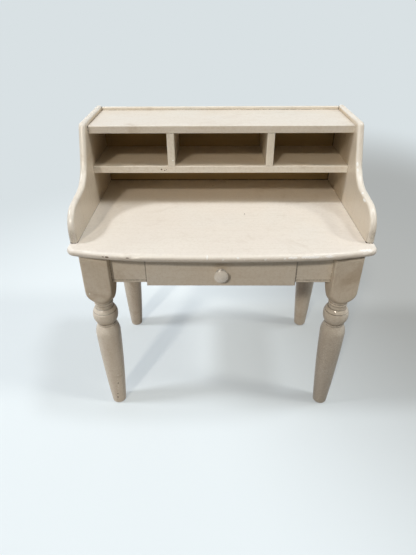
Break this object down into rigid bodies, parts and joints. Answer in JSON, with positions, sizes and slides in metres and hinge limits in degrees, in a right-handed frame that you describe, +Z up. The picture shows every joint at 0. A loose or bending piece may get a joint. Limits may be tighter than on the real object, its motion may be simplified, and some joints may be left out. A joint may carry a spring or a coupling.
{
  "type": "writing desk",
  "caption": "Cream-painted bow-front writing desk on chunky turned legs, with a knobbed drawer and a gallery hutch of pigeonholes between S-curved ends",
  "frame": {"origin": "on the floor, under the middle of the desk's own box", "axes": "+X to the right of someone who sits at the desk, +Y to the back, +Z up; the bow and the drawer face -Y"},
  "size_m": [0.995, 0.6629, 1.056],
  "materials": {
    "cream_paint": "brushed cream paint, satin, chipped and rubbed along its edges",
    "bare_pine": "planed pine, unfinished",
    "plywood": "thin plywood, unfinished",
    "screw_steel": "plated wood screws"
  },
  "bodies": {
    "desk": {"desktop": "cream_paint", "side_panel_left": "cream_paint", "side_panel_right": "cream_paint", "top_shelf": "cream_paint", "middle_shelf": "cream_paint", "divider_left": "cream_paint", "divider_right": "cream_paint", "back_panel": "cream_paint", "gallery_rail": "cream_paint", "leg_front_left": "cream_paint", "leg_front_right": "cream_paint", "leg_rear_left": "cream_paint", "leg_rear_right": "cream_paint", "front_apron_left": "cream_paint", "front_apron_right": "cream_paint", "side_apron_left": "cream_paint", "side_apron_right": "cream_paint", "back_apron": "cream_paint", "front_rail": "bare_pine", "drawer_runner_left": "bare_pine", "drawer_runner_right": "bare_pine", "drawer_stop_left": "bare_pine", "drawer_stop_right": "bare_pine", "top_cleat_left": "bare_pine", "top_cleat_right": "bare_pine", "top_cleat_back": "bare_pine", "divider_dowels": "bare_pine", "top_screws": "screw_steel", "panel_screws": "screw_steel"},
    "drawer": {"drawer_front": "cream_paint", "drawer_side_left": "bare_pine", "drawer_side_right": "bare_pine", "drawer_back": "bare_pine", "drawer_bottom": "plywood", "drawer_knob": "cream_paint", "knob_screw": "screw_steel"}
  },
  "joints": [
    {"name": "drawer_slide", "type": "slide", "parent": "desk", "child": "drawer", "axis": [0, -1, 0], "range_m": [0, 0.35]}
  ]
}
